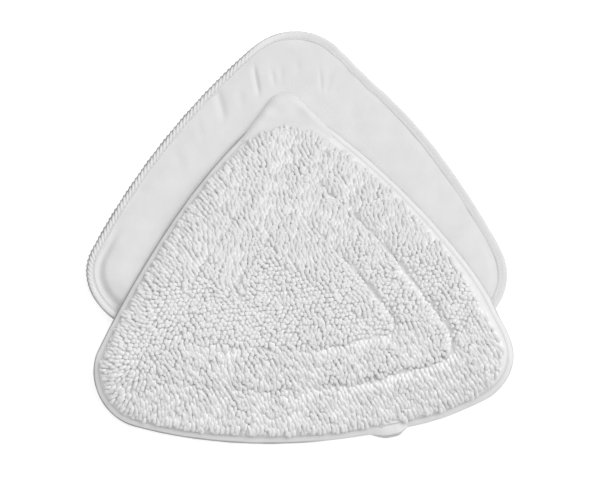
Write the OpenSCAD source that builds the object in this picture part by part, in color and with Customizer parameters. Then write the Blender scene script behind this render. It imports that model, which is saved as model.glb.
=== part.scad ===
/* [Pad outline] */
// Width of one pad across its two heel corners
pad_w = 300; // [230:1:360]
// Length of one pad from its nose to its heel edge
pad_l = 231; // [190:1:280]
// Radius of the rounded nose
nose_r = 48; // [30:1:60]
// Radius of each rounded heel corner
heel_r = 38; // [25:1:46]
// Distance from the heel edge forward to the centres of the heel corners
heel_depth = 56; // [50:1:70]
// Radius of the gently bowed long sides
side_bow_r = 510; // [380:10:900]

/* [Layers] */
// Thickness of the brushed backing cloth that grips the mop head's hooks
backing_t = 0.8; // [0.6:0.1:1.6]
// Thickness of the absorbent wadding
wadding_t = 2.4; // [1:0.1:6]
// Thickness of the knitted ground that carries the pile
ground_t = 0.8; // [0.6:0.1:1.6]
// Height of the microfibre pile above its ground
pile_h = 5.4; // [3:0.1:9]

/* [Edge tape] */
// Thickness of the binding tape folded round the edge
tape_t = 0.6; // [0.5:0.1:1]
// Width of the tape on each face of the pad
tape_w = 6.5; // [5:0.1:9]
// Distance from the pad's edge to the row of stitches in the tape
tape_seam = 5; // [3:0.1:8]
// Gap between the tape and the first row of pile
pile_gap = 0.5; // [0.2:0.1:2]
// Length of the folded tape end that laps over the start of the tape
lap_l = 28; // [15:1:40]
// Distance of the lap's middle from the pad's centre line
lap_x = 55; // [0:1:80]

/* [Quilting] */
// Distance from the pad's edge to the outer quilted triangle
outer_quilt = 38; // [30:1:45]
// Corner radius of the outer quilted triangle
outer_quilt_r = 12; // [8:1:25]
// Distance from the pad's edge to the inner quilted triangle
inner_quilt = 65; // [55:1:70]
// Corner radius of the inner quilted triangle
inner_quilt_r = 8; // [5:1:12]
// Width of the furrow that a quilted seam leaves in the pile
furrow_w = 3; // [2:0.5:6]

/* [Slack of the upper pad's backing] */
// How far the folded slack is pushed out past the nose
slack_out = 19; // [10:1:30]
// Width of the folded slack where it comes out from under the pad
slack_w = 70; // [50:1:80]
// Radius of the fold's rounded end
slack_r = 14; // [8:1:18]

/* [Thread] */
// Width of a laid stitch
thread_w = 0.5; // [0.4:0.1:1]
// Height of a laid stitch
thread_h = 0.3; // [0.2:0.05:0.4]

/* [Placing of the two pads] */
// How far the upper pad lies to the right of the lower one
upper_right = 1; // [-20:0.5:20]
// How far the upper pad lies towards the heel side of the lower one
upper_down = 62; // [40:0.5:100]
// Turn of the upper pad, anticlockwise from above
upper_turn = 4.3; // [-10:0.1:10]
// Clearance between the lower pad and what lies on it
pads_gap = 0.3; // [0.2:0.1:2]
// Length over which the upper pad sags from the lower pad to the floor
sag_run = 45; // [30:1:60]

/* [Hidden] */
$fn = 96;
SAG_STEPS = 12; // flat strips in the sag
BOW_STEPS = 12; // straight runs in a side, and in half the heel edge
CORNER_STEPS = 12; // straight runs round a heel corner, and round half the nose
SAG_CLEAR = 2; // the sag begins this far past the lower pad's heel edge
FAR = 1000; // past everything, for clipping shapes
CLOTH = [0.93, 0.93, 0.93];
PILE = [0.97, 0.97, 0.97];
FILL = [0.88, 0.88, 0.86];
TAPE = [0.90, 0.90, 0.91];
THREAD = [0.98, 0.98, 0.98];

PIECES = ["pile_cloth", "wadding", "backing_cloth", "edge_tape", "tape_end",
          "tape_needle_thread", "tape_bobbin_thread",
          "outer_quilt_needle_thread", "outer_quilt_bobbin_thread",
          "inner_quilt_needle_thread", "inner_quilt_bobbin_thread"];

// Heights inside one pad, from the tape's face on the backing side to the tips of the pile
backing_z = tape_t;
wadding_z = backing_z + backing_t;
ground_z = wadding_z + wadding_t;
pile_z = ground_z + ground_t;
tape_top = pile_z + tape_t;
pad_t = pile_z + pile_h;
slack_t = 2 * backing_t;

// The crossing of two circles that lies to the right of the way from a to b
function meet(a, ra, b, rb) =
    let (d = norm(b - a), u = (b - a) / d, t = (d * d + ra * ra - rb * rb) / (2 * d))
    a + u * t + [u.y, -u.x] * sqrt(ra * ra - t * t);
function flipped(p) = [-p.x, p.y];

// Circles of the outline: two bowed sides, a bowed heel edge and three corners that touch them
heel_half = pad_w / 2 - heel_r;
heel_bow_r = (heel_half * heel_half + heel_depth * heel_depth - heel_r * heel_r)
           / (2 * (heel_depth - heel_r));
heel_bow = [0, heel_bow_r - pad_l / 2];
side_bow = meet([0, pad_l / 2 - nose_r], side_bow_r - nose_r,
                [heel_half, heel_depth - pad_l / 2], side_bow_r - heel_r);

// Centres of the corners of an outline drawn this far inside the edge, with corners of radius r
function nose_at(inset, r) =
    [0, side_bow.y + sqrt(pow(side_bow_r - inset - r, 2) - side_bow.x * side_bow.x)];
function heel_at(inset, r) =
    meet(side_bow, side_bow_r - inset - r, heel_bow, heel_bow_r - inset - r);

// Origin of the row frame: the middle of the two pads together
function turned(p, a) = [p.x * cos(a) - p.y * sin(a), p.x * sin(a) + p.y * cos(a)];
function heel_reach(side) =
    side * turned([side * heel_half, heel_depth - pad_l / 2], upper_turn).x + heel_r;
both_right = max(pad_w / 2, upper_right + heel_reach(1));
both_left = max(pad_w / 2, heel_reach(-1) - upper_right);
both_front = upper_down + heel_bow_r - turned(heel_bow, upper_turn).y;
lower_at = [(both_left - both_right) / 2, (both_front - pad_l / 2) / 2];
upper_at = lower_at + [upper_right, -upper_down];

// The upper pad's height over the floor: on the lower pad, and down to the floor past its heel edge
upper_z = pad_t + slack_t + pads_gap;
sag_from = lower_at.y - pad_l / 2 - SAG_CLEAR;
function eased(t) = t * t * (3 - 2 * t);
sag_line = concat([[FAR, upper_z]],
                  [for (i = [0:SAG_STEPS]) let (t = i / SAG_STEPS)
                      [sag_from - t * sag_run, upper_z - eased(t) * (upper_z - tape_t)]],
                  [[-FAR, tape_t]]);

// ---- plane shapes in the pad's own frame, nose towards +Y ----

function angle_from(centre, p) = atan2(p.y - centre.y, p.x - centre.x);

// Points along an arc, without its first point
function arc(centre, r, from, to, steps) =
    [for (i = [1:steps]) let (a = from + (to - from) * i / steps) centre + r * [cos(a), sin(a)]];

// The right half of the outline, from the nose's tip to the middle of the heel edge
function right_half(inset, nose, nose_rad, heel, heel_rad) =
    let (a = angle_from(side_bow, nose), b = angle_from(side_bow, heel), c = angle_from(heel_bow, heel))
    concat([nose + [0, nose_rad]],
           arc(nose, nose_rad, 90, a, CORNER_STEPS),
           arc(side_bow, side_bow_r - inset, a, b, BOW_STEPS),
           arc(heel, heel_rad, b, c, CORNER_STEPS),
           arc(heel_bow, heel_bow_r - inset, c, -90, BOW_STEPS));

module bowed_triangle(inset, nose_rad, heel_rad) {
    half = right_half(inset, nose_at(inset, nose_rad), nose_rad, heel_at(inset, heel_rad), heel_rad);
    polygon(concat(half, [for (i = [len(half) - 2:-1:1]) flipped(half[i])]));
}

// The pad's own outline, drawn this far inside its edge
module outline(inset) { bowed_triangle(inset, nose_r - inset, heel_r - inset); }

// A band of the outline between two distances from the edge
module band(from, to) {
    difference() {
        outline(from);
        outline(to);
    }
}

// A line of this width along a quilted seam
module quilt_line(inset, r, width) {
    difference() {
        bowed_triangle(inset - width / 2, r + width / 2, r + width / 2);
        bowed_triangle(inset + width / 2, r - width / 2, r - width / 2);
    }
}

module tape_seam_line() { band(tape_seam - thread_w / 2, tape_seam + thread_w / 2); }
module outer_quilt_line(width) { quilt_line(outer_quilt, outer_quilt_r, width); }
module inner_quilt_line(width) { quilt_line(inner_quilt, inner_quilt_r, width); }

// The folded slack: a rounded end past the nose and two straight flanks back under the pad
slack_end = [0, pad_l / 2 + slack_out - slack_r];
slack_root = [slack_w / 2, pad_l / 2 - nose_r / 3];
slack_lean = asin(slack_r / norm(slack_end - slack_root));
slack_flank = slack_root + turned(slack_end - slack_root, -slack_lean) * cos(slack_lean);
module slack_shape() {
    translate(slack_end) circle(slack_r);
    polygon([slack_flank, slack_root, slack_root - [0, nose_r / 2], flipped(slack_root) - [0, nose_r / 2],
             flipped(slack_root), flipped(slack_flank), slack_end]);
}

module lap_window() {
    translate([lap_x - lap_l / 2, -pad_l]) square([lap_l, pad_l]);
}

// ---- from the pad's frame to where each pad lies ----

// The space between two heights in the upper pad, following its sag
module sagging(z_lo, z_hi) {
    rotate([90, 0, 90]) linear_extrude(2 * FAR, center = true)
        polygon(concat([for (p = sag_line) p + [0, z_lo]],
                       [for (i = [len(sag_line) - 1:-1:0]) sag_line[i] + [0, z_hi]]));
}

// A plane shape as cloth between two heights of one pad. The lower pad lies with its pile down.
module cloth(pad, z_lo, z_hi) {
    if (pad == "lower")
        translate([lower_at.x, lower_at.y, pad_t - z_hi])
            linear_extrude(z_hi - z_lo) mirror([1, 0]) children();
    else intersection() {
        sagging(z_lo, z_hi);
        translate([upper_at.x, upper_at.y, -tape_t]) rotate(upper_turn)
            linear_extrude(upper_z + 2 * pad_t) children();
    }
}

// ---- the pieces of one pad ----

module pile_cloth(pad) {
    color(PILE) {
        cloth(pad, ground_z, pile_z) outline(tape_t);
        cloth(pad, pile_z, pad_t) difference() {
            outline(tape_w + pile_gap);
            outer_quilt_line(furrow_w);
            inner_quilt_line(furrow_w);
        }
    }
}

module wadding(pad) { color(FILL) cloth(pad, wadding_z, ground_z) outline(tape_t); }

module backing_cloth(pad) {
    color(CLOTH) {
        cloth(pad, backing_z, backing_z + thread_h) difference() {
            outline(tape_t);
            outer_quilt_line(thread_w);
            inner_quilt_line(thread_w);
        }
        cloth(pad, backing_z + thread_h, wadding_z) outline(tape_t);
        if (pad == "upper") {
            cloth(pad, -slack_t, 0) slack_shape();
            cloth(pad, 0, backing_z) intersection() {
                slack_shape();
                outline(tape_w);
            }
        }
    }
}

module edge_tape(pad) {
    color(TAPE) {
        for (z = [0, tape_top - thread_h]) cloth(pad, z, z + thread_h) difference() {
            band(0, tape_w);
            tape_seam_line();
        }
        cloth(pad, thread_h, tape_t) band(0, tape_w);
        cloth(pad, tape_t, pile_z) band(0, tape_t);
        cloth(pad, pile_z, tape_top - thread_h) band(0, tape_w);
    }
}

module tape_end(pad) {
    color(TAPE) for (z = [[-tape_t, 0, tape_w], [0, tape_top, 0], [tape_top, tape_top + tape_t, tape_w]])
        cloth(pad, z[0], z[1]) intersection() {
            band(-tape_t, z[2]);
            lap_window();
        }
}

// The needle thread lies on the pile side of its seam, and the bobbin thread on the backing side
module tape_needle_thread(pad) { color(THREAD) cloth(pad, tape_top - thread_h, tape_top) tape_seam_line(); }
module tape_bobbin_thread(pad) { color(THREAD) cloth(pad, 0, thread_h) tape_seam_line(); }
module outer_quilt_needle_thread(pad) {
    color(THREAD) cloth(pad, pile_z, pile_z + thread_h) outer_quilt_line(thread_w);
}
module outer_quilt_bobbin_thread(pad) {
    color(THREAD) cloth(pad, backing_z, backing_z + thread_h) outer_quilt_line(thread_w);
}
module inner_quilt_needle_thread(pad) {
    color(THREAD) cloth(pad, pile_z, pile_z + thread_h) inner_quilt_line(thread_w);
}
module inner_quilt_bobbin_thread(pad) {
    color(THREAD) cloth(pad, backing_z, backing_z + thread_h) inner_quilt_line(thread_w);
}

for (pad = ["lower", "upper"]) {
    pile_cloth(pad);
    wadding(pad);
    backing_cloth(pad);
    edge_tape(pad);
    tape_end(pad);
    tape_needle_thread(pad);
    tape_bobbin_thread(pad);
    outer_quilt_needle_thread(pad);
    outer_quilt_bobbin_thread(pad);
    inner_quilt_needle_thread(pad);
    inner_quilt_bobbin_thread(pad);
}
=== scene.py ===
"""Two washable steam mop pads, one lying half over the other.

The lower one lies with its backing up, the upper one with its pile up.
"""

import math

import bpy
import numpy as np
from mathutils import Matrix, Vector

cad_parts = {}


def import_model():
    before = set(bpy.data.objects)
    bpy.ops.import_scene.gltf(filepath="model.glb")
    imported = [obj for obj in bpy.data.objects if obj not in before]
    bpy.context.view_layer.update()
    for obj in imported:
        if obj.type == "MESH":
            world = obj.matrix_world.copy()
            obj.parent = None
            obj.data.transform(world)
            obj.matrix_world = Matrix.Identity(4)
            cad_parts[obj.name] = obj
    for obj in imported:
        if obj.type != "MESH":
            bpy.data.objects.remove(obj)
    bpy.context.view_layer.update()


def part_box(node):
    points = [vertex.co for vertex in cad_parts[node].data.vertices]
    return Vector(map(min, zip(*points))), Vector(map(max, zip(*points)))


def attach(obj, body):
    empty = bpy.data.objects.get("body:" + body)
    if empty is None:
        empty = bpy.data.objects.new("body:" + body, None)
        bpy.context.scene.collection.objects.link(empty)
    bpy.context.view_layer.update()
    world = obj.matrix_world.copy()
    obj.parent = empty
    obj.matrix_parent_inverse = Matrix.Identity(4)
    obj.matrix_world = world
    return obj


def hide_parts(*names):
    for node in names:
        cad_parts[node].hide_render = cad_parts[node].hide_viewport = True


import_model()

# ---- sizes, in metres: those of the frame's pads, but for SLACK_OUT, which is 2 mm less ----

MM = 0.001
PAD_W = 300 * MM
PAD_L = 231 * MM
NOSE_R = 48 * MM
HEEL_R = 38 * MM
HEEL_DEPTH = 56 * MM
SIDE_BOW_R = 510 * MM
TAPE_W = 6.5 * MM
TAPE_SEAM = 5 * MM
TAPE_T = 0.6 * MM
BACKING_T = 0.8 * MM
WADDING_T = 2.4 * MM
GROUND_T = 0.8 * MM
LAP_X = 55 * MM
LAP_L = 28 * MM
OUTER_QUILT = 38 * MM
OUTER_QUILT_R = 12 * MM
INNER_QUILT = 65 * MM
INNER_QUILT_R = 8 * MM
UPPER_RIGHT = 1 * MM
UPPER_DOWN = 62 * MM
UPPER_TURN = math.radians(4.3)
SAG_RUN = 45 * MM
SAG_CLEAR = 2 * MM
SLACK_OUT = 17 * MM
SLACK_W = 70 * MM
SLACK_R = 14 * MM

BACKING_H = TAPE_T  # heights in a pad, from the tape's face on the backing side
WADDING_H = BACKING_H + BACKING_T
GROUND_H = WADDING_H + WADDING_T
PILE_H = GROUND_H + GROUND_T
TAPE_TOP_H = PILE_H + TAPE_T


# ---- outline of a pad: bowed sides and heel edge, round nose and heel corners, nose towards +Y ----


def meet(a, ra, b, rb):
    """The crossing of two circles that lies to the right of the way from a to b."""
    across = b - a
    d = np.linalg.norm(across)
    u = across / d
    t = (d * d + ra * ra - rb * rb) / (2 * d)
    return a + u * t + np.array([u[1], -u[0]]) * math.sqrt(ra * ra - t * t)


HEEL_HALF = PAD_W / 2 - HEEL_R
HEEL_BOW_R = (HEEL_HALF**2 + HEEL_DEPTH**2 - HEEL_R**2) / (2 * (HEEL_DEPTH - HEEL_R))
HEEL_BOW = np.array([0, HEEL_BOW_R - PAD_L / 2])
SIDE_BOW = meet(
    np.array([0, PAD_L / 2 - NOSE_R]),
    SIDE_BOW_R - NOSE_R,
    np.array([HEEL_HALF, HEEL_DEPTH - PAD_L / 2]),
    SIDE_BOW_R - HEEL_R,
)


class Triangle:
    """A bowed triangle drawn some way inside the pad's edge, with its own corner radii."""

    def __init__(self, inset, nose_r, heel_r):
        self.nose_r, self.heel_r = nose_r, heel_r
        self.side_r, self.heel_bow_r = SIDE_BOW_R - inset, HEEL_BOW_R - inset
        rise = math.sqrt((self.side_r - nose_r) ** 2 - SIDE_BOW[0] ** 2)
        self.nose = np.array([0, SIDE_BOW[1] + rise])
        self.heel = meet(SIDE_BOW, self.side_r - heel_r, HEEL_BOW, self.heel_bow_r - heel_r)
        self.a = math.atan2(*(self.nose - SIDE_BOW)[::-1])
        self.b = math.atan2(*(self.heel - SIDE_BOW)[::-1])
        self.c = math.atan2(*(self.heel - HEEL_BOW)[::-1])
        self.arcs = [
            (self.nose, nose_r, math.pi / 2, self.a),
            (SIDE_BOW, self.side_r, self.a, self.b),
            (self.heel, heel_r, self.b, self.c),
            (HEEL_BOW, self.heel_bow_r, self.c, -math.pi / 2),
        ]
        self.half = sum(r * (start - end) for _, r, start, end in self.arcs)
        self.length = 2 * self.half

    def at(self, s):
        """Points and outward normals at distances s along the edge, clockwise from the nose's tip."""
        s = np.asarray(s, float) % self.length
        left = s > self.half
        along = np.where(left, self.length - s, s)
        point = np.zeros((len(s), 2))
        normal = np.zeros((len(s), 2))
        done = 0.0
        for centre, r, start, end in self.arcs:
            span = r * (start - end)
            here = (along >= done) & (along <= done + span + 1e-9)
            angle = start - (along[here] - done) / r
            normal[here] = np.stack([np.cos(angle), np.sin(angle)], 1)
            point[here] = centre + r * normal[here]
            done += span
        point[left, 0] *= -1
        normal[left, 0] *= -1
        return point, normal

    def depth(self, p):
        """How far points lie inside the edge; negative outside it."""
        q = np.stack([np.abs(p[:, 0]), p[:, 1]], 1)
        side = self.side_r - np.linalg.norm(q - SIDE_BOW, axis=1)
        heel = self.heel_bow_r - np.linalg.norm(q - HEEL_BOW, axis=1)
        depth = np.minimum(side, heel)
        for centre, r, start, end in (self.arcs[0], self.arcs[2]):
            v = q - centre
            angle = np.arctan2(v[:, 1], v[:, 0])
            low = end if centre is self.heel else self.a
            here = (angle >= low) & (angle <= start + 1e-6)
            depth[here] = r - np.linalg.norm(v[here], axis=1)
        return depth


EDGE = Triangle(0, NOSE_R, HEEL_R)
OUTER = Triangle(OUTER_QUILT, OUTER_QUILT_R, OUTER_QUILT_R)
INNER = Triangle(INNER_QUILT, INNER_QUILT_R, INNER_QUILT_R)


# ---- where each pad lies ----


def middle(node):
    low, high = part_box(node)
    return (low + high) / 2


LOWER_AT = np.array(middle("lower_edge_tape")[:2])
UPPER_AT = LOWER_AT + np.array([UPPER_RIGHT, -UPPER_DOWN])
LOWER_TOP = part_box("lower_edge_tape")[1].z
UPPER_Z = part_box("upper_inner_quilt_bobbin_thread")[0].z - BACKING_H
SAG_FROM = LOWER_AT[1] - PAD_L / 2 - SAG_CLEAR


class Pad:
    """Takes points of a pad, (x, y) and a height over its backing side, to where the pad lies."""

    def __init__(self, name, face_up, seed, pulls):
        self.name, self.body, self.face_up, self.seed = name, name + "_pad", face_up, seed
        self.pulls = pulls

    def drawn_in(self, xy):
        """The visible pad's plane: narrower than the frame's pad, and uneven at its corners and sides."""
        x, y = NARROW * xy[:, 0], xy[:, 1].copy()
        for at_x, at_y, by_x, by_y, reach in self.pulls:
            near = np.exp(-((xy[:, 0] - at_x) ** 2 + (xy[:, 1] - at_y) ** 2) / reach**2)
            x += by_x * near
            y += by_y * near
        return x, y

    def place(self, xy, h):
        x, y = self.drawn_in(xy)
        h = np.broadcast_to(h, x.shape)
        if not self.face_up:
            return np.stack([LOWER_AT[0] - x, LOWER_AT[1] + y, LOWER_TOP - h], 1)
        c, s = math.cos(UPPER_TURN), math.sin(UPPER_TURN)
        gx = UPPER_AT[0] + c * x - s * y
        gy = UPPER_AT[1] + s * x + c * y
        t = np.clip((SAG_FROM - gy) / SAG_RUN, 0, 1)
        return np.stack([gx, gy, UPPER_Z - t * t * (3 - 2 * t) * (UPPER_Z - TAPE_T) + h], 1)


NARROW = 0.985  # share of the width of the frame's pad that a visible pad has

# pulls: the place in the pad, how far the visible pad is moved there, and over what reach
LOWER_PULLS = MM * np.array(
    [
        (138, -78, -0.8, 2.6, 26),
        (-48, 84, 2.6, -1.2, 34),
    ]
)
UPPER_PULLS = MM * np.array(
    [
        (-146, -72, 0.2, 1.2, 34),
        (-95, 0, 1.6, -0.8, 60),
        (146, -46, -3.0, -2.6, 24),
        (92, -100, 0, -1.6, 30),
    ]
)
LOWER = Pad("lower", False, 11, LOWER_PULLS)
UPPER = Pad("upper", True, 29, UPPER_PULLS)


# ---- helpers ----


def waves(p, wavelength, seed, count=10):
    """Smooth seeded noise of about that wavelength, about -1 to 1."""
    rng = np.random.default_rng(seed)
    total = np.zeros(len(p))
    for _ in range(count):
        turn = rng.uniform(0, math.tau)
        k = math.tau / (wavelength * rng.uniform(0.7, 1.5))
        total += np.sin(k * (p[:, 0] * math.cos(turn) + p[:, 1] * math.sin(turn)) + rng.uniform(0, math.tau))
    return total / math.sqrt(count / 2) / 1.6


def smooth(low, high, v):
    t = np.clip((v - low) / (high - low), 0, 1)
    return t * t * (3 - 2 * t)


def mesh_of(name, points, quads, uv_xy=None, shade=None):
    """A smooth-shaded mesh object from arrays of points and of four-cornered faces.

    shade, 0 to 1 at each point, is painted light and shade kept for the material to read.
    """
    mesh = bpy.data.meshes.new(name)
    quads = np.asarray(quads, np.int32)
    mesh.vertices.add(len(points))
    mesh.vertices.foreach_set("co", np.asarray(points, np.float32).ravel())
    mesh.loops.add(quads.size)
    mesh.loops.foreach_set("vertex_index", quads.ravel())
    mesh.polygons.add(len(quads))
    mesh.polygons.foreach_set("loop_start", np.arange(0, quads.size, 4, dtype=np.int32))
    mesh.polygons.foreach_set("use_smooth", np.ones(len(quads), bool))
    mesh.update(calc_edges=True)
    mesh.validate()
    if uv_xy is not None:
        layer = mesh.uv_layers.new(name="OFBake")
        low, high = uv_xy.min(0), uv_xy.max(0)
        uv = (uv_xy - low) / max(high - low)
        layer.data.foreach_set("uv", uv[quads.ravel()].astype(np.float32).ravel())
    if shade is not None:
        kept = mesh.attributes.new("shade", "FLOAT", "POINT")
        kept.data.foreach_set("value", np.asarray(shade, np.float32))
    obj = bpy.data.objects.new(name, mesh)
    bpy.context.scene.collection.objects.link(obj)
    return obj


def grid_quads(rows, columns, closed_rows=False, closed_columns=False):
    """Faces of a grid of points held row by row."""
    r = np.arange(rows if closed_rows else rows - 1)
    c = np.arange(columns if closed_columns else columns - 1)
    r, c = np.meshgrid(r, c, indexing="ij")
    r, c = r.ravel(), c.ravel()
    r2, c2 = (r + 1) % rows, (c + 1) % columns
    return np.stack([r * columns + c, r * columns + c2, r2 * columns + c2, r2 * columns + c], 1)


def end_cap(first, count):
    """Faces that close a ring of count points, the first of which is given."""
    i = np.arange(0, count // 2 - 1)
    return np.stack([first + i, first + i + 1, first + count - 2 - i, first + count - 1 - i], 1)


def finish_piece(obj, pad, slot, material, *nodes):
    """Colours a piece, ties it to its body and hides the nodes it stands for; slot is not used."""
    obj.data.materials.append(material)
    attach(obj, pad.body)
    if nodes:
        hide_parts(*[f"{pad.name}_{n}" for n in nodes])
    return obj


def solidify(obj, thickness, offset):
    mod = obj.modifiers.new("thickness", "SOLIDIFY")
    mod.thickness = thickness
    mod.offset = offset
    return obj


# ---- materials ----


def new_material(name, colour, roughness, sheen):
    mat = bpy.data.materials.new(name)
    mat.use_nodes = True
    nodes, links = mat.node_tree.nodes, mat.node_tree.links
    shader = nodes["Principled BSDF"]
    shader.inputs["Base Color"].default_value = (*colour, 1)
    shader.inputs["Roughness"].default_value = roughness
    shader.inputs["Sheen Weight"].default_value = sheen
    shader.inputs["Sheen Roughness"].default_value = 0.5
    shader.inputs["Specular IOR Level"].default_value = 0.25
    return mat, nodes, links, shader


def node(nodes, kind, **settings):
    n = nodes.new(kind)
    for key, value in settings.items():
        if key in n.inputs:
            n.inputs[key].default_value = value
        else:
            setattr(n, key, value)
    return n


def tone(nodes, links, shader, fac, dark, light, start=0.3, end=0.7):
    """Colours the shader between two greys by a texture's value."""
    ramp = nodes.new("ShaderNodeValToRGB")
    ramp.color_ramp.elements[0].position = start
    ramp.color_ramp.elements[0].color = (*dark, 1)
    ramp.color_ramp.elements[1].position = end
    ramp.color_ramp.elements[1].color = (*light, 1)
    links.new(fac, ramp.inputs["Fac"])
    links.new(ramp.outputs["Color"], shader.inputs["Base Color"])


def bumps(nodes, links, shader, layers):
    """Stacks bump nodes: (height socket, strength, distance) for each layer."""
    last = None
    for height, strength, distance in layers:
        bump = node(nodes, "ShaderNodeBump", Strength=strength, Distance=distance)
        links.new(height, bump.inputs["Height"])
        if last:
            links.new(last.outputs["Normal"], bump.inputs["Normal"])
        last = bump
    links.new(last.outputs["Normal"], shader.inputs["Normal"])


def with_shade(nodes, links, texture):
    """The painted light and shade kept in the mesh, with a little of a texture added to it."""
    shade = node(nodes, "ShaderNodeAttribute", attribute_name="shade")
    both = node(nodes, "ShaderNodeMath", operation="MULTIPLY_ADD")
    both.inputs[1].default_value = 0.15
    links.new(texture.outputs["Fac"], both.inputs[0])
    links.new(shade.outputs["Fac"], both.inputs[2])
    return both.outputs["Value"]


def pile_material():
    """Microfibre yarn: soft white, fine split fibres along and across each loop."""
    mat, nodes, links, shader = new_material("microfibre_pile", (0.84, 0.84, 0.84), 0.95, 0.25)
    place = nodes.new("ShaderNodeTexCoord")
    fuzz = node(nodes, "ShaderNodeTexNoise", Scale=2600.0, Detail=3.0)
    patch = node(nodes, "ShaderNodeTexNoise", Scale=45.0, Detail=2.0)
    for n in (fuzz, patch):
        links.new(place.outputs["Object"], n.inputs["Vector"])
    # painted light and shade: the loops are lighter down among them, where shade falls, and a little greyer
    # at their tips, where the light falls
    grey = with_shade(nodes, links, patch)
    tone(nodes, links, shader, grey, (0.95, 0.95, 0.95), (0.69, 0.69, 0.69), 0.1, 1.1)
    bumps(nodes, links, shader, [(fuzz.outputs["Fac"], 0.5, 0.0002)])
    return mat


def nap_material(name, light, grain):
    """Brushed knit: a fine, soft nap over a faint knitted grid."""
    mat, nodes, links, shader = new_material(name, (light,) * 3, 0.95, 0.3)
    place = nodes.new("ShaderNodeTexCoord")
    nap = node(nodes, "ShaderNodeTexNoise", Scale=grain, Detail=5.0, Roughness=0.7)
    knit = node(nodes, "ShaderNodeTexVoronoi", Scale=grain * 0.45)
    cloud = node(nodes, "ShaderNodeTexNoise", Scale=70.0, Detail=3.0)
    for n in (nap, knit, cloud):
        links.new(place.outputs["Object"], n.inputs["Vector"])
    tone(nodes, links, shader, cloud.outputs["Fac"], (light - 0.03,) * 3, (light + 0.02,) * 3)
    layers = [(knit.outputs["Distance"], 0.15, 0.0003), (nap.outputs["Fac"], 0.4, 0.0004)]
    bumps(nodes, links, shader, layers)
    return mat


def tape_material():
    """Woven binding tape: crosswise threads, crossing the ribs that the mesh has."""
    mat, nodes, links, shader = new_material("binding_tape", (0.82, 0.82, 0.82), 0.8, 0.15)
    place = nodes.new("ShaderNodeTexCoord")
    thread = node(nodes, "ShaderNodeTexNoise", Scale=1800.0, Detail=2.0)
    stain = node(nodes, "ShaderNodeTexNoise", Scale=120.0, Detail=2.0)
    for n in (thread, stain):
        links.new(place.outputs["Object"], n.inputs["Vector"])
    # the painted shade kept in the mesh darkens the tape, with a little stain noise added
    painted_shade = with_shade(nodes, links, stain)
    tone(nodes, links, shader, painted_shade, (0.82, 0.82, 0.82), (0.34, 0.34, 0.35), 0.0, 1.1)
    bumps(nodes, links, shader, [(thread.outputs["Fac"], 0.35, 0.0003)])
    return mat


def thread_material():
    """Spun sewing thread, with its twist as a fine wave."""
    mat, nodes, links, shader = new_material("sewing_thread", (0.88, 0.88, 0.88), 0.6, 0.1)
    place = nodes.new("ShaderNodeTexCoord")
    ply = node(nodes, "ShaderNodeTexWave", Scale=900.0, Distortion=2.0)
    links.new(place.outputs["Object"], ply.inputs["Vector"])
    tone(nodes, links, shader, ply.outputs["Fac"], (0.82, 0.82, 0.82), (0.90, 0.90, 0.90))
    bumps(nodes, links, shader, [(ply.outputs["Fac"], 0.5, 0.0002)])
    return mat


def wadding_material():
    """Bonded fibre: matted, stringy and slightly creamy."""
    mat, nodes, links, shader = new_material("wadding", (0.80, 0.80, 0.78), 1.0, 0.4)
    place = nodes.new("ShaderNodeTexCoord")
    strands = node(nodes, "ShaderNodeTexNoise", Scale=500.0, Detail=6.0, Distortion=1.5)
    links.new(place.outputs["Object"], strands.inputs["Vector"])
    tone(nodes, links, shader, strands.outputs["Fac"], (0.74, 0.74, 0.72), (0.84, 0.84, 0.82))
    bumps(nodes, links, shader, [(strands.outputs["Fac"], 0.8, 0.001)])
    return mat


# ---- shapes of the cloths ----

PUFF = 1.5 * MM  # of the lower pad's backing between its seams
PULLED_REACH = 6 * MM  # how far in from the tape's seam the backing is pulled flat
VALLEY_DEEP = 3.3 * MM
VALLEY_IN = 9 * MM
VALLEY_WIDE = 3 * MM
GROUND_PUFF = 2.9 * MM
GROUND_REACH = 4.5 * MM
FURROW_DEEP = 2.0 * MM
FURROW_WIDE = 2.6 * MM
UNDER_TAPE = 2 * MM  # how far the cloths run in under the tape
LAYER_GAP = 0.05 * MM  # between the wadding and a cloth

# gathers beside the nose: distance of each along the edge from the nose's tip, how far inside the edge
# it begins and ends, its half width, how far it slants along the edge for each metre inward, its depth
GATHERS = MM * np.array(
    [
        (-60, 14, 28, 3.6, 400, 0.35),
        (-34, 18, 32, 2.6, 500, 0.5),
        (-16, 22, 33, 2.0, 500, 0.8),
        (-2, 22, 32, 2.4, 0, 0.45),
        (14, 24, 33, 2.2, -200, 0.5),
        (25, 22, 32, 2.0, -300, 0.8),
        (37, 12, 29, 2.0, -600, 1.8),
        (56, 16, 28, 3.4, -500, 0.5),
        (72, 5, 24, 3.4, -600, 1.4),
        (97, 10, 24, 3.6, -500, 0.5),
        (124, 9, 22, 4.5, -400, 0.4),
    ]
)


def creases(xy):
    """Depth of the short gathers that run in from the nose's edge."""
    depth = np.zeros(len(xy))
    inset = EDGE.depth(xy)
    for s, start, end, wide, slant, deep in GATHERS:
        (tip,), (out,) = EDGE.at([s])
        along = np.array([out[1], -out[0]])
        across = (xy - tip) @ along + slant * inset
        near = np.abs((xy - tip) @ out) < 60 * MM
        begun = smooth(start - 4 * MM, start + 4 * MM, inset)
        ended = smooth(end - 6 * MM, end + 3 * MM, inset)
        depth += near * begun * (1 - ended) * deep * np.exp(-((across / wide) ** 2))
    return depth


def quilt_distance(xy):
    """Distance of points from the nearer quilted seam."""
    return np.minimum(np.abs(OUTER.depth(xy)), np.abs(INNER.depth(xy)))


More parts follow.
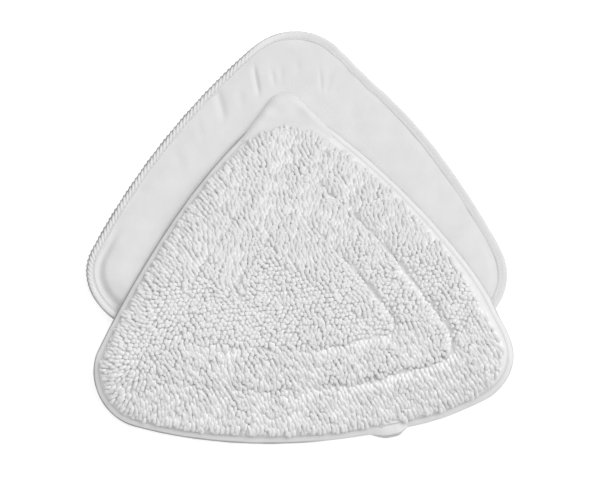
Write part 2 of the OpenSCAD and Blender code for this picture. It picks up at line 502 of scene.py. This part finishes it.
def valley(xy):
    """Depth of the valley beside the tape at the heel corners, where the backing lies slack.

    It is deepest at the left.
    """
    inset = EDGE.depth(xy)
    heel = smooth(-20 * MM, -50 * MM, xy[:, 1])
    corner = heel * (smooth(0, 60 * MM, xy[:, 0]) + 0.2 * smooth(0, -60 * MM, xy[:, 0]))
    beside = np.exp(-(((inset - VALLEY_IN) / VALLEY_WIDE) ** 2))
    return VALLEY_DEEP * corner * (beside - 0.4 * smooth(VALLEY_IN, 26 * MM, inset))


def backing_height(pad, xy):
    """The backing's outer face: pulled in at each seam, puffed out between, with gathers at the nose."""
    pulled = np.exp(-np.abs(EDGE.depth(xy) - TAPE_SEAM) / PULLED_REACH)
    pulled += 0.1 * np.exp(-((quilt_distance(xy) / (5 * MM)) ** 2))
    puff = 0.5 * PUFF if pad.face_up else PUFF
    h = BACKING_H + 0.35 * MM - puff * (1 - pulled)
    h += 0.22 * MM * waves(xy, 38 * MM, pad.seed + 1) + 0.08 * MM * waves(xy, 14 * MM, pad.seed + 2)
    if not pad.face_up:
        h += creases(xy) + valley(xy)
    return h


def furrow_shows(xy):
    """How clearly a quilted seam shows in the pile, 0 to 1; the loops close over it on the left."""
    return 0.3 + 0.7 * smooth(-10 * MM, 50 * MM, xy[:, 0])


def ground_height(xy):
    """The pile cloth's ground, seen from the pile side."""
    h = PILE_H + 0.1 * MM + GROUND_PUFF * (1 - np.exp(-np.abs(EDGE.depth(xy) - TAPE_SEAM) / GROUND_REACH))
    return h - FURROW_DEEP * furrow_shows(xy) * np.exp(-((quilt_distance(xy) / FURROW_WIDE) ** 2))


def fan(inset, rings, columns):
    """Points of a pad's face, as rings that shrink towards its middle, and their faces."""
    edge, out = EDGE.at(np.arange(columns) * EDGE.length / columns)
    edge = edge - inset * out
    centre = np.array([0, -12 * MM])
    shares = np.linspace(1, 0.004, rings)
    xy = (centre + shares[:, None, None] * (edge - centre)).reshape(-1, 2)
    quads = grid_quads(rings, columns, closed_columns=True)
    return xy, np.concatenate([quads, end_cap((rings - 1) * columns, columns)])


def backing(pad, material):
    xy, quads = fan(TAPE_W - UNDER_TAPE, 130, 760)
    h = backing_height(pad, xy)
    obj = mesh_of(f"{pad.name}_backing_cloth_piece", pad.place(xy, h), quads, xy)
    solidify(obj, BACKING_T, -1)
    return finish_piece(obj, pad, "backing", material, "backing_cloth")


def ground(pad, material):
    xy, quads = fan(TAPE_W - UNDER_TAPE, 100, 600)
    h = ground_height(xy)
    obj = mesh_of(f"{pad.name}_pile_ground", pad.place(xy, h), quads[:, ::-1], xy)
    solidify(obj, GROUND_T, -1)
    return finish_piece(obj, pad, "pile", material)


def wadding(pad, material):
    """One closed, quilted layer between the two cloths."""
    rings, columns = 60, 360
    xy, quads = fan(TAPE_W, rings, columns)
    under = backing_height(pad, xy) + BACKING_T + LAYER_GAP
    over = ground_height(xy) - GROUND_T - LAYER_GAP
    over = np.maximum(over, under + 0.2 * MM)
    rim = np.arange(columns)
    count = len(xy)
    sides = np.stack([rim, (rim + 1) % columns, count + (rim + 1) % columns, count + rim], 1)
    points = np.concatenate([pad.place(xy, under), pad.place(xy, over)])
    faces = np.concatenate([quads, quads[:, ::-1] + count, sides[:, ::-1]])
    obj = mesh_of(f"{pad.name}_wadding_piece", points, faces)
    return finish_piece(obj, pad, "wadding", material, "wadding")


# ---- the binding tape ----

RIB_PITCH = 3.8 * MM  # along the edge
RIB_DEPTH = 0.85 * MM
RIB_LEAN = 1.15  # how far a rib runs along the edge for each step across the tape


def rib_strength(pad, s):
    """How strongly the ribs show: full along the lower pad's left side, and faint everywhere else."""
    if pad.face_up:
        return np.full(len(s), 0.25)
    tight = smooth(25 * MM, 60 * MM, s) * (1 - smooth(EDGE.half - 190 * MM, EDGE.half - 150 * MM, s))
    return 0.12 + 0.88 * tight


def tape_profile(count):
    """Points (inset, height) round the folded tape's outside, from its backing face to its pile face."""
    face = [
        (TAPE_W, 0.55 * MM),
        (6.3 * MM, 0.22 * MM),
        (5.9 * MM, 0.12 * MM),
        (5.5 * MM, 0.30 * MM),
        (TAPE_SEAM, 0.62 * MM),
        (4.5 * MM, 0.40 * MM),
        (3.6 * MM, 0.08 * MM),
        (2.5 * MM, 0.0),
        (1.4 * MM, 0.25 * MM),
        (0.6 * MM, 0.85 * MM),
        (0.15 * MM, 1.7 * MM),
        (0.0, TAPE_TOP_H / 2),
    ]
    # on the pile side the tape is rounder, as the wadding ends short of the edge
    rounder = [(x, TAPE_TOP_H - h - 1.7 * MM * smooth(5.6 * MM, 0.8 * MM, x)) for x, h in face[-2::-1]]
    whole = np.array(face + rounder)
    steps = np.concatenate([[0], np.cumsum(np.linalg.norm(np.diff(whole, axis=0), axis=1))])
    u = np.linspace(0, steps[-1], count)
    return np.stack([np.interp(u, steps, whole[:, k]) for k in (0, 1)], 1), u


def profile_normals(profile):
    along = np.gradient(profile, axis=0)
    out = np.stack([-along[:, 1], along[:, 0]], 1)
    return out / np.linalg.norm(out, axis=1)[:, None]


def tape_painted_shade(pad, edge, inset, ribbed):
    """Painted shade on the tape: in the grooves between ribs, most near the rim, along its left rim, which
    the light doesn't reach, and in its seam's groove; on the lower pad the outer roll of its right half is
    greyer too.

    ribbed is 0 on a rib and rises to the strength of the ribs in a groove.
    """
    at_rim = 1 - smooth(0.1 * MM, 3.6 * MM, inset)
    left = smooth(20 * MM, -20 * MM, edge[:, 0] if pad.face_up else -edge[:, 0])[:, None]
    seam_at, seam_wide = (4.8 * MM, 1.5 * MM) if pad.face_up else (5.3 * MM, 0.8 * MM)
    # painted shade in the rib grooves, darkest near the rim, and along the left rim
    painted_shade = ribbed * (0.5 + 0.9 * at_rim) + 0.9 * left * (1 - smooth(0, 1.4 * MM, inset))
    # painted shade in the seam's groove
    painted_shade = painted_shade + 0.4 * np.exp(-(((inset - seam_at) / seam_wide) ** 2))
    if not pad.face_up:
        # the lower pad's tape is greyer on the outer roll of its right half
        painted_shade = painted_shade + 0.2 * (1 - left) * (1 - smooth(3.4 * MM, 4.2 * MM, inset))
    return painted_shade


def swept_tape(pad, s, count, lift, ribs=True, thickness=TAPE_T):
    """Outside and inside points of the tape along distances s, and the painted shade on it there.

    lift pushes the tape outward; it is one value or one for each column.
    """
    profile, u = tape_profile(count)
    turned = profile_normals(profile)
    edge, out = EDGE.at(s)
    pitch = 0.55 * RIB_PITCH if pad.face_up else RIB_PITCH
    phase = (s[:, None] + RIB_LEAN * u[None, :]) / pitch
    ridge = np.abs(np.sin(math.pi * phase)) ** 0.7
    on_roll = 1 - smooth(4.4 * MM, 5.2 * MM, profile[None, :, 0])
    wobble = 0.12 * MM * waves(edge, 17 * MM, pad.seed + 5)[:, None]
    sideways = 0.35 + 0.65 * np.maximum(0, -turned[None, :, 0])
    push = lift * sideways + wobble
    ribbed = rib_strength(pad, s)[:, None] * on_roll * (1 - ridge)
    if ribs:
        push = push - RIB_DEPTH * ribbed
    rows = []
    for depth in (0, thickness):
        inset = profile[None, :, 0] + turned[None, :, 0] * (push - depth)
        height = profile[None, :, 1] + turned[None, :, 1] * (push - depth)
        xy = edge[:, None, :] - inset[..., None] * out[:, None, :]
        rows.append((xy, height))
    return rows, tape_painted_shade(pad, edge, profile[None, :, 0], ribbed)


def tape(pad, material):
    columns, across, inner = 2340, 34, 9
    s = np.arange(columns) * EDGE.length / columns
    ((xy, h), _), painted_shade = swept_tape(pad, s, across, 0)
    (_, (xy_in, h_in)), _ = swept_tape(pad, s, inner, 0, ribs=False)
    xy = np.concatenate([xy, xy_in[:, ::-1]], 1)
    h = np.concatenate([h, h_in[:, ::-1]], 1)
    # painted shade on the outside of the tape, none on its inside
    painted_shade = np.concatenate([painted_shade, np.zeros((columns, inner))], 1)
    points = pad.place(xy.reshape(-1, 2), h.ravel())
    quads = grid_quads(columns, across + inner, closed_rows=True, closed_columns=True)
    obj = mesh_of(f"{pad.name}_edge_tape_piece", points, quads, shade=painted_shade.ravel())
    return finish_piece(obj, pad, "tape", material, "edge_tape")


def heel_s(x):
    """Distance along the edge of a point of the heel edge at x."""
    angle = math.asin(x / HEEL_BOW_R)
    return EDGE.half - HEEL_BOW_R * angle


LAP_UNDER = 0.4 * MM  # how far the lapped end may stand out on the backing side


def tape_end(pad, material):
    """The tape's end: folded under, and sewn over the tape's beginning, so that it stands out in a lump."""
    columns, across, inner = 120, 34, 12
    s0, s1 = heel_s(LAP_X + LAP_L / 2), heel_s(LAP_X - LAP_L / 2)
    s = np.linspace(s0, s1, columns)
    t = np.linspace(0, 1, columns)
    near_end = np.clip(t / 0.08, 0, 1)
    end = np.sqrt(near_end * (2 - near_end))
    bulge = smooth(-0.02, 0.28, t) * (1 - smooth(0.5, 1, t))
    lift = (0.3 + 0.6 * end + 3.9 * bulge - 0.6 * smooth(0.75, 1, t)) * MM
    ((xy, h), _), painted_shade = swept_tape(pad, s, across, lift[:, None])
    (_, (xy_in, h_in)), _ = swept_tape(pad, s, inner, 0.1 * MM, ribs=False, thickness=0.4 * MM)
    # painted shade, weaker on the lapped end, none on its inside
    painted_shade = np.concatenate([0.4 * painted_shade, np.zeros((columns, inner))], 1)
    xy = np.concatenate([xy, xy_in[:, ::-1]], 1)
    h = np.maximum(np.concatenate([h, h_in[:, ::-1]], 1), -LAP_UNDER)
    points = pad.place(xy.reshape(-1, 2), h.ravel())
    ring = across + inner
    quads = grid_quads(columns, ring, closed_columns=True)
    faces = np.concatenate([quads, end_cap(0, ring)[:, ::-1], end_cap((columns - 1) * ring, ring)])
    obj = mesh_of(f"{pad.name}_tape_end_piece", points, faces, shade=painted_shade.ravel())
    return finish_piece(obj, pad, "tape", material, "tape_end")


# ---- stitches ----

STITCH = 2.6 * MM
STITCH_GAP = 0.5 * MM
THREAD_R = 0.24 * MM
IN_TAPE = 0.5 * MM  # how deep the tape's stitches lie in the tape's face
SUNK = 0.36 * MM  # how deep a quilted seam's stitches lie in the backing's nap


def tubes(lines, radius, sides, squash=1.0, twist=0.0):
    """Points and faces of closed tubes along many centrelines at once: lines is (tubes, points, 3)."""
    count, steps, _ = lines.shape
    along = np.gradient(lines, axis=1)
    along /= np.linalg.norm(along, axis=2)[..., None]
    up = np.zeros_like(along)
    up[..., 2] = 1
    side = np.cross(along, up)
    weak = np.linalg.norm(side, axis=2) < 0.05
    side[weak] = np.cross(along[weak], np.array([1.0, 0.02, 0.0]))
    side /= np.linalg.norm(side, axis=2)[..., None]
    over = np.cross(side, along)
    angle = np.arange(sides) * math.tau / sides
    turn = twist * np.arange(steps)
    wave_x, wave_y = np.cos(angle), squash * np.sin(angle)
    cx = wave_x[None, :] * np.cos(turn)[:, None] - wave_y[None, :] * np.sin(turn)[:, None]
    cy = wave_x[None, :] * np.sin(turn)[:, None] + wave_y[None, :] * np.cos(turn)[:, None]
    ring = side[:, :, None, :] * cx[None, :, :, None] + over[:, :, None, :] * cy[None, :, :, None]
    points = lines[:, :, None, :] + ring * radius[:, :, None, None]
    points = points.reshape(-1, 3)
    body = grid_quads(steps, sides, closed_columns=True)
    far_cap = end_cap((steps - 1) * sides, sides)
    one = np.concatenate([body[:, ::-1], end_cap(0, sides), far_cap[:, ::-1]])
    quads = one[None] + (np.arange(count) * steps * sides)[:, None, None]
    return points, quads.reshape(-1, 4)


def stitch_row(pad, node_name, triangle, inset, height):
    """Separate stitches along a seam, each dipping into the cloth at both ends."""
    length = triangle.length
    count = int(length / (STITCH + STITCH_GAP))
    steps = 7
    t = np.linspace(-0.5, 0.5, steps)
    s = (np.arange(count)[:, None] + 0.5) * length / count + t[None, :] * STITCH
    edge, out = triangle.at(s.ravel())
    xy = edge - inset * out
    side = 1 if "needle" in node_name else -1
    bow = THREAD_R * (0.9 - 13 * np.abs(t) ** 3)
    h = height(xy) + side * np.tile(bow, count)
    lines = pad.place(xy, h).reshape(count, steps, 3)
    radius = THREAD_R * np.tile(np.array([0.55, 0.9, 1, 1, 1, 0.9, 0.55]), (count, 1))
    points, quads = tubes(lines, radius, 8)
    return mesh_of(f"{pad.name}_{node_name}_stitches", points, quads)


def stitches(pad, material):
    rows = []
    seams = [
        ("tape_needle_thread", EDGE, TAPE_SEAM, lambda xy: np.full(len(xy), TAPE_TOP_H - IN_TAPE)),
        ("tape_bobbin_thread", EDGE, TAPE_SEAM, lambda xy: np.full(len(xy), IN_TAPE)),
        ("outer_quilt_needle_thread", OUTER, 0, ground_height),
        ("outer_quilt_bobbin_thread", OUTER, 0, lambda xy: backing_height(pad, xy) + SUNK),
        ("inner_quilt_needle_thread", INNER, 0, ground_height),
        ("inner_quilt_bobbin_thread", INNER, 0, lambda xy: backing_height(pad, xy) + SUNK),
    ]
    for name, triangle, inset, height in seams:
        row = stitch_row(pad, name, triangle, inset, height)
        rows.append(finish_piece(row, pad, "thread", material, name))
    return rows


# ---- the pile ----

LOOP_R = 1.6 * MM
LOOP_UP = 0.6 * MM  # length of a loop that stands
LOOP_DOWN = 7.6 * MM  # length that shows of one that lies
LOOP_STEPS = 10
LOOP_SIDES = 8
ROOT_GAP = 3.15 * MM
ROW_SHARE = 0.866  # of that gap, between the rows of the hexagonal grid
PILE_START = TAPE_W + 1.4 * MM
NEAR_EDGE = 7.0 * MM  # how near to the edge a tip comes at the nose and on the right
OVER_TAPE = 4.2 * MM  # and on the left and at the heel edge, where loops hang over the tape
FURROW = 0.7 * MM
MOST_LOOPS = 1250  # in one piece, so that each stays a moderate mesh


def loop_roots(pad):
    """Places of the pile's loops: a jittered hexagonal grid inside the tape, clear of the furrows."""
    rng = np.random.default_rng(pad.seed + 40)
    rows = int(PAD_L / (ROOT_GAP * ROW_SHARE)) + 2
    columns = int(PAD_W / ROOT_GAP) + 2
    r, c = np.meshgrid(np.arange(rows), np.arange(columns), indexing="ij")
    x = (c - columns / 2 + 0.5 * (r % 2)) * ROOT_GAP
    y = (r - rows / 2) * ROOT_GAP * ROW_SHARE
    xy = np.stack([x.ravel(), y.ravel()], 1) + rng.normal(0, 0.1 * ROOT_GAP, (x.size, 2))
    keep = EDGE.depth(xy) > PILE_START
    keep &= np.abs(OUTER.depth(xy)) > FURROW * furrow_shows(xy)
    keep &= np.abs(INNER.depth(xy)) > FURROW * furrow_shows(xy)
    return xy[keep], rng


def away_from(triangle, xy):
    """Unit vectors that point out through a triangle's nearest side."""
    step = 0.5 * MM
    dx = triangle.depth(xy + [step, 0]) - triangle.depth(xy - [step, 0])
    dy = triangle.depth(xy + [0, step]) - triangle.depth(xy - [0, step])
    v = -np.stack([dx, dy], 1)
    return v / np.maximum(np.linalg.norm(v, axis=1), 1e-9)[:, None]


def flow(pad, xy):
    """How each loop leans, as a vector of length 0, upright, to about 1, lying down; and how near to
    the edge its tip may come.

    Loops lie towards the nose above the middle and towards the heel edge below it, stand up between,
    and turn outwards along the left side and the heel edge, where they hang over the tape.
    """
    noise = waves(xy, 60 * MM, pad.seed + 50)
    split = np.tanh((xy[:, 1] + 18 * MM + 14 * MM * noise) / (26 * MM))
    lie = np.stack([-0.25 * (1 - split**2) - 0.1 * split, 0.95 * split], 1)
    lie += 0.22 * np.stack([waves(xy, 34 * MM, pad.seed + 51), waves(xy, 34 * MM, pad.seed + 52)], 1)
    lie += 0.14 * np.stack([waves(xy, 12 * MM, pad.seed + 54), waves(xy, 12 * MM, pad.seed + 55)], 1)
    out = away_from(EDGE, xy)
    hang = smooth(-0.35, 0.3, -0.8 * out[:, 0] - 0.6 * out[:, 1])
    rim = np.exp(-(((EDGE.depth(xy) - PILE_START) / (17 * MM)) ** 2)) * hang
    lie = lie * (1 - rim)[:, None] + 1.05 * out * rim[:, None]
    for triangle in (OUTER, INNER):
        d = triangle.depth(xy)
        beside = (0.05 + 0.3 * smooth(-30 * MM, 60 * MM, xy[:, 0])) * np.exp(-((d / (5 * MM)) ** 2))
        lie -= (np.sign(d) * beside)[:, None] * away_from(triangle, xy)
    limit = NEAR_EDGE - (NEAR_EDGE - OVER_TAPE) * hang
    limit += 2.4 * MM * smooth(PAD_L / 2 - 42 * MM, PAD_L / 2 - 22 * MM, xy[:, 1])
    return lie, out, limit


def loops_at(pad):
    """Root, lean, share lying down and length of each loop, and the random numbers to go on with."""
    xy, rng = loop_roots(pad)
    lie, out, limit = flow(pad, xy)
    lie += rng.normal(0, 0.09, lie.shape)
    lying = np.clip(np.linalg.norm(lie, axis=1), 0.25, 1.15)
    length = rng.uniform(0.85, 1.15, len(xy)) * (LOOP_UP + (LOOP_DOWN - LOOP_UP) * lying)
    # near the edge a loop is short enough for its tip to keep its distance, and there is none too near
    reach = np.maximum(0.9 * length * np.sum(lie * out, axis=1), 0.1 * MM)
    limit = limit + 0.9 * MM * waves(xy, 11 * MM, pad.seed + 56)
    room = (EDGE.depth(xy) - limit) / reach * rng.uniform(0.7, 1.15, len(xy))
    kept = room > 0.4
    return xy[kept], lie[kept], lying[kept], length[kept] * np.minimum(room[kept], 1), rng


def loop_lines(pad, xy, lie, lying, length, along, rng):
    """Centreline of each loop, which bends over from its root to its tip."""
    count = len(xy)
    angle = np.arctan2(lie[:, 1], lie[:, 0])
    start = np.radians(4 + 52 * lying + rng.normal(0, 4, count))
    end = np.radians(14 + 86 * lying + rng.normal(0, 6, count))
    swerve = rng.normal(0, 0.16, count)
    flat = xy.copy()
    height = ground_height(xy) - 0.3 * MM
    places, heights = [flat], [height]
    for before, after in zip(along[:-1], along[1:]):
        t = (before + after) / 2
        lean = start + (end - start) * t**0.8
        bend = angle + swerve * t
        step = length * (after - before)
        flat = flat + (step * np.sin(lean))[:, None] * np.stack([np.cos(bend), np.sin(bend)], 1)
        height = height + step * np.cos(lean)
        # a loop lies on the tape rather than in it
        over_tape = EDGE.depth(flat) < TAPE_W + LOOP_R
        height = np.where(over_tape, np.maximum(height, TAPE_TOP_H + 0.75 * LOOP_R), height)
        places.append(flat)
        heights.append(height)
    h = np.stack(heights, 1)
    place = np.stack(places, 1)
    if not pad.face_up:
        h = np.minimum(h, LOWER_TOP - 1.1 * LOOP_R)
    return pad.place(place.reshape(-1, 2), h.ravel()).reshape(count, LOOP_STEPS, 3)


def pile(pad, material):
    xy, lie, lying, length, rng = loops_at(pad)
    count = len(xy)
    along = 1 - (1 - np.linspace(0, 1, LOOP_STEPS)) ** 1.5  # closer together towards the round tip
    lines = loop_lines(pad, xy, lie, lying, length, along, rng)
    taper = np.minimum(1, 0.8 + 0.8 * along) * np.sqrt(1 - 0.88 * smooth(0.72, 1, along) ** 2)
    plump = 1.12 - 0.12 * smooth(0.3, 0.8, lying)  # a loop that stands bulges more
    radius = LOOP_R * taper[None, :] * (plump * rng.uniform(0.9, 1.1, count))[:, None]
    order = np.argsort(xy[:, 0], kind="stable")
    pieces = []
    for i, part in enumerate(np.array_split(order, math.ceil(count / MOST_LOOPS))):
        points, quads = tubes(lines[part], radius[part], LOOP_SIDES, squash=0.86, twist=0.5)
        # painted light and shade: lightest at each loop's root, where shade falls, greyer towards its tip,
        # more so on loops that lie
        grey = (0.35 + 0.65 * lying[part])[:, None] * smooth(0.05, 0.75, along)
        shade = np.repeat(grey.ravel(), LOOP_SIDES)
        obj = mesh_of(f"{pad.name}_pile_loops_{i + 1}", points, quads, points[:, :2], shade)
        pieces.append(finish_piece(obj, pad, "pile", material))
    return pieces


# ---- the folded slack of the upper pad's backing, out past its nose ----

SLACK_PUFF = 3.8 * MM  # height of the fold near its rim
SLACK_ROUND = 7 * MM  # how far in from the rim its roundness reaches
OVER_NOSE = 0.6 * MM  # how far it stands over the nose's tape
OVER_PILE = 0.4 * MM  # and over the pile's ground
SLACK_WRINKLE = 0.4 * MM


def slack_outline():
    """Rim of the folded slack, from one side of the nose round its end to the other, and its spine."""
    end = np.array([0, PAD_L / 2 + SLACK_OUT - SLACK_R])
    root = np.array([SLACK_W / 2, PAD_L / 2 - NOSE_R / 3])
    to_end = end - root
    far = np.linalg.norm(to_end)
    lean = math.asin(SLACK_R / far)
    flank_turn = math.atan2(to_end[1], to_end[0]) - lean
    flank = root + far * math.cos(lean) * np.array([math.cos(flank_turn), math.sin(flank_turn)])
    start = root - [0, NOSE_R / 2]
    turn = np.linspace(flank_turn - math.pi / 2, math.pi / 2, 24)
    round_end = end + SLACK_R * np.stack([np.cos(turn), np.sin(turn)], 1)
    corners = np.concatenate([[start, root, flank], round_end[1:]])
    steps = np.concatenate([[0], np.cumsum(np.linalg.norm(np.diff(corners, axis=0), axis=1))])
    q = np.linspace(0, steps[-1], 90)
    half = np.stack([np.interp(q, steps, corners[:, k]) for k in (0, 1)], 1)
    rim = np.concatenate([half, half[-2::-1] * [-1, 1]])
    spine = np.stack([np.zeros(len(rim)), np.minimum(rim[:, 1], end[1])], 1)
    return rim, spine


def slack(pad, material):
    """One sheet: from the first pile over the nose's tape, out, round the rim and back underneath."""
    rim, spine = slack_outline()
    w = np.linspace(-1, 1, 61)
    share = np.abs(w) ** 1.4
    xy = rim[:, None] + share[None, :, None] * (spine - rim)[:, None]
    flat = xy.reshape(-1, 2)
    past = -EDGE.depth(flat)
    inward = np.linalg.norm(flat - np.repeat(rim, len(w), 0), axis=1)
    low, mid = -2 * BACKING_T - 0.2 * MM, -BACKING_T - 0.1 * MM
    dome = np.sqrt(1 - (1 - np.clip(inward / SLACK_ROUND, 0, 1)) ** 2)
    over_tape = smooth(-15 * MM, -12 * MM, past)
    over_ground = (ground_height(flat) + OVER_PILE) * (past < -TAPE_W)
    over = np.maximum(TAPE_TOP_H + OVER_NOSE, over_ground)
    body = (WADDING_H + WADDING_T / 2) * (1 - over_tape) + over * over_tape
    body -= (TAPE_TOP_H - SLACK_PUFF) * smooth(-2 * MM, SLACK_OUT, past)
    wrinkle = SLACK_WRINKLE * waves(flat, 15 * MM, pad.seed + 7) * smooth(-6 * MM, 4 * MM, past)
    top = mid + (body + wrinkle - mid) * dome
    bottom = mid + (low - mid) * dome
    h = np.where(np.tile(w, len(rim)) > 0, top, bottom)
    quads = grid_quads(len(rim), len(w))
    obj = mesh_of("upper_backing_slack", pad.place(flat, h), quads[:, ::-1])
    obj.modifiers.new("join_at_the_middle", "WELD").merge_threshold = 0.05 * MM
    solidify(obj, 0.5 * BACKING_T, -1)
    return finish_piece(obj, pad, "backing", material)


# ---- build ----

pile_yarn = pile_material()
ground_knit = nap_material("pile_ground", 0.78, 1500.0)
brushed = nap_material("brushed_backing", 0.71, 1500.0)
woven = tape_material()
sewing = thread_material()
fibre = wadding_material()

fold = slack(UPPER, brushed)

for pad in (LOWER, UPPER):
    loops = pile(pad, pile_yarn)
    under = ground(pad, ground_knit)
    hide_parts(f"{pad.name}_pile_cloth")
    back = backing(pad, brushed)
    fill = wadding(pad, fibre)
    binding = tape(pad, woven)
    lap = tape_end(pad, woven)
    sewn_on = [binding, lap, *stitches(pad, sewing)]


# ---- floor, light and camera ----


def floor():
    obj = mesh_of(
        "floor",
        np.array([[-6, -6, 0], [6, -6, 0], [6, 6, 0], [-6, 6, 0]], float),
        [[0, 1, 2, 3]],
    )
    mat, nodes, links, shader = new_material("floor", (0.93, 0.93, 0.93), 0.9, 0)
    grain = node(nodes, "ShaderNodeTexNoise", Scale=3.0, Detail=2.0)
    tone(nodes, links, shader, grain.outputs["Fac"], (0.93, 0.93, 0.93), (0.94, 0.94, 0.94))
    shader.inputs["Emission Color"].default_value = (1, 1, 1, 1)
    shader.inputs["Emission Strength"].default_value = 0.4  # so that it comes out white
    obj.data.materials.append(mat)


def sun(direction, strength, softness):
    """A broad soft light from far off, as a large softbox gives."""
    data = bpy.data.lights.new("softbox", "SUN")
    data.energy = strength
    data.angle = math.radians(softness)
    obj = bpy.data.objects.new("softbox", data)
    bpy.context.scene.collection.objects.link(obj)
    obj.rotation_euler = (-Vector(direction)).to_track_quat("-Z", "Y").to_euler()


def world(overhead, around):
    """White light from all round, stronger overhead than from near the floor."""
    w = bpy.data.worlds.new("studio")
    w.use_nodes = True
    nodes, links = w.node_tree.nodes, w.node_tree.links
    direction = nodes.new("ShaderNodeTexCoord")
    parts = nodes.new("ShaderNodeSeparateXYZ")
    height = node(nodes, "ShaderNodeMapRange")
    height.inputs["To Min"].default_value = around
    height.inputs["To Max"].default_value = overhead
    links.new(direction.outputs["Generated"], parts.inputs["Vector"])
    links.new(parts.outputs["Z"], height.inputs["Value"])
    links.new(height.outputs["Result"], nodes["Background"].inputs["Strength"])
    nodes["Background"].inputs["Color"].default_value = (1, 1, 1, 1)
    bpy.context.scene.world = w


LENS = 250
VIEW_HEIGHT = math.radians(80)
VIEW_FAR = 2.924  # from the middle of what is seen
VIEW_AIM = Vector((2.4 * MM, -38.1 * MM, 8 * MM))  # from the lower pad's middle, on the floor


def camera():
    data = bpy.data.cameras.new("camera")
    data.lens = LENS
    data.sensor_width = 36
    data.clip_start = 0.01
    obj = bpy.data.objects.new("camera", data)
    bpy.context.scene.collection.objects.link(obj)
    aim = Vector((*LOWER_AT, 0)) + VIEW_AIM
    obj.location = aim + VIEW_FAR * Vector((0, -math.cos(VIEW_HEIGHT), math.sin(VIEW_HEIGHT)))
    obj.rotation_euler = (math.pi / 2 - VIEW_HEIGHT, 0, 0)
    bpy.context.scene.camera = obj


bpy.context.scene.view_settings.view_transform = "Standard"
bpy.context.scene.view_settings.gamma = 1.2
floor()
sun((0.9, 0.5, 1.1), 1.6, 50)
world(0.9, 0.1)
camera()
